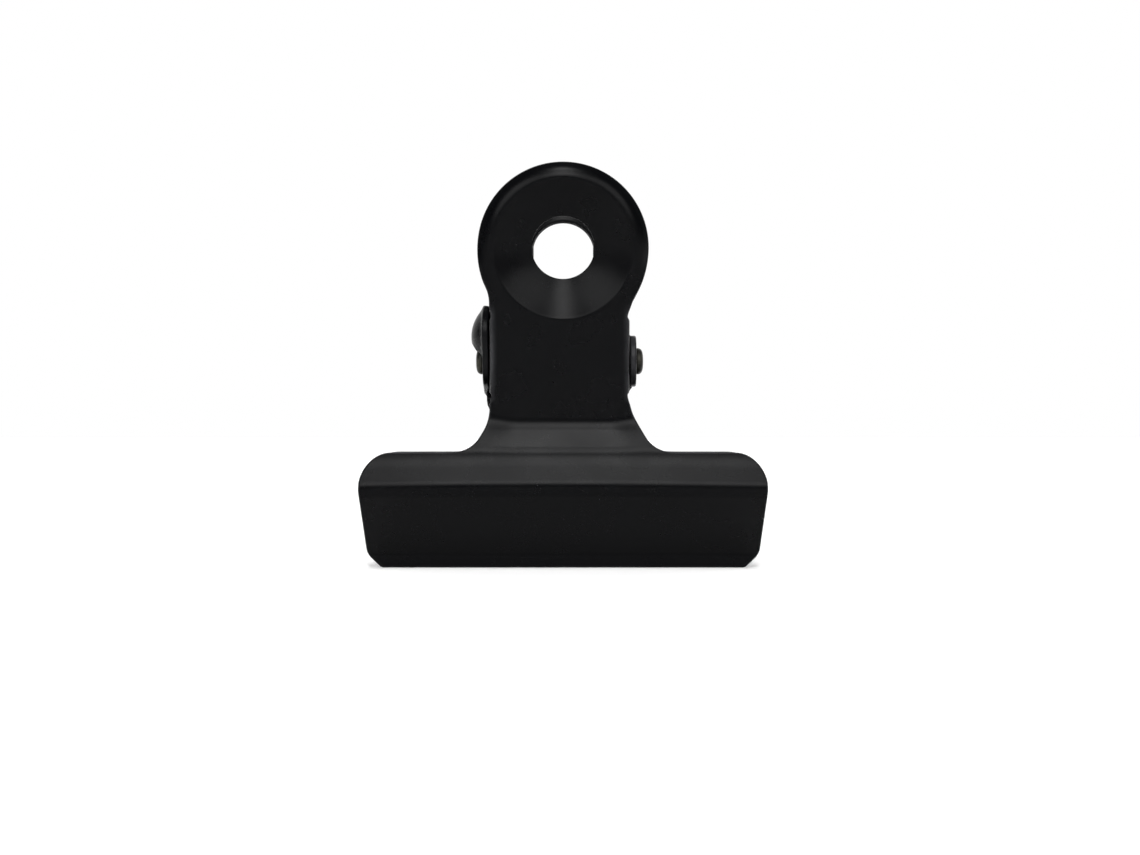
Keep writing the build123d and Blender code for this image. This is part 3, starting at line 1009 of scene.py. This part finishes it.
def background_rays(nodes, links):
    """1 for a ray that sees the background: from the camera, off a shiny face or through glass."""
    path = nodes.new("ShaderNodeLightPath")
    rays = path.outputs["Is Camera Ray"]
    for kind in ("Is Glossy Ray", "Is Transmission Ray"):
        either = nodes.new("ShaderNodeMath")
        either.operation = "MAXIMUM"
        links.new(rays, either.inputs[0])
        links.new(path.outputs[kind], either.inputs[1])
        rays = either.outputs["Value"]
    return rays


def show(nodes, links, surface):
    """Make this the surface of the material."""
    output = next(node for node in nodes if node.bl_idname == "ShaderNodeOutputMaterial")
    links.new(surface, output.inputs["Surface"])


def pale_floor():
    """Lit by the lamps, so it keeps the shadow, with the last of the white added for the background."""
    made, nodes, links, shader = pale("pale_floor", 40.0)
    glow = nodes.new("ShaderNodeEmission")
    rays = background_rays(nodes, links)
    links.new(ranged(nodes, links, rays, 0.0, FLOOR_GLOW, 0.0, 1.0), glow.inputs["Strength"])
    both = nodes.new("ShaderNodeAddShader")
    links.new(shader.outputs["BSDF"], both.inputs[0])
    links.new(glow.outputs["Emission"], both.inputs[1])
    show(nodes, links, both.outputs["Shader"])
    return made


def white_backdrop():
    """White to the rays that see the background, and plain matt to the rest."""
    made, nodes, links, shader = pale("white_backdrop", 4.0)
    white = nodes.new("ShaderNodeEmission")
    white.inputs["Color"].default_value = (1.0, 1.0, 1.0, 1.0)
    white.inputs["Strength"].default_value = 1.0
    either = nodes.new("ShaderNodeMixShader")
    links.new(background_rays(nodes, links), either.inputs["Fac"])
    links.new(shader.outputs["BSDF"], either.inputs[1])
    links.new(white.outputs["Emission"], either.inputs[2])
    show(nodes, links, either.outputs["Shader"])
    return made


plane("floor", [
    (-STAGE_HALF, -STAGE_HALF, 0), (STAGE_HALF, -STAGE_HALF, 0),
    (STAGE_HALF, BACKDROP_Y, 0), (-STAGE_HALF, BACKDROP_Y, 0),
], pale_floor())
plane("backdrop", [
    (-STAGE_HALF, BACKDROP_Y, 0), (STAGE_HALF, BACKDROP_Y, 0),
    (STAGE_HALF, BACKDROP_Y, STAGE_HALF), (-STAGE_HALF, BACKDROP_Y, STAGE_HALF),
], white_backdrop())

for side, energy, turn, elevation, spread in LIGHTS:
    lamp = bpy.data.lights.new("soft_light_" + side, "SUN")
    lamp.energy = energy
    lamp.angle = math.radians(spread)
    lamp_object = bpy.data.objects.new("soft_light_" + side, lamp)
    lamp_object.rotation_euler = (math.radians(90.0 - elevation), 0.0, math.radians(turn))
    scene.collection.objects.link(lamp_object)

world = bpy.data.worlds.new("dim_room")
scene.world = world
world.use_nodes = True
room = world.node_tree.nodes["Background"]
room.inputs["Color"].default_value = (1.0, 1.0, 1.0, 1.0)
room.inputs["Strength"].default_value = ROOM_LIGHT

camera = bpy.data.cameras.new("camera")
camera.sensor_fit = "HORIZONTAL"
camera.sensor_width = SENSOR
camera.lens = LENS_PIXELS / PICTURE_WIDTH * SENSOR
camera.clip_start = CLIP_START
camera.clip_end = CLIP_END
camera_object = bpy.data.objects.new("camera", camera)
camera_object.location = (CAMERA_X * MM, -CAMERA_DISTANCE * MM, CAMERA_HEIGHT * MM)
camera_object.rotation_euler = (math.pi / 2, 0.0, 0.0)
scene.collection.objects.link(camera_object)
scene.camera = camera_object

bpy.context.view_layer.update()
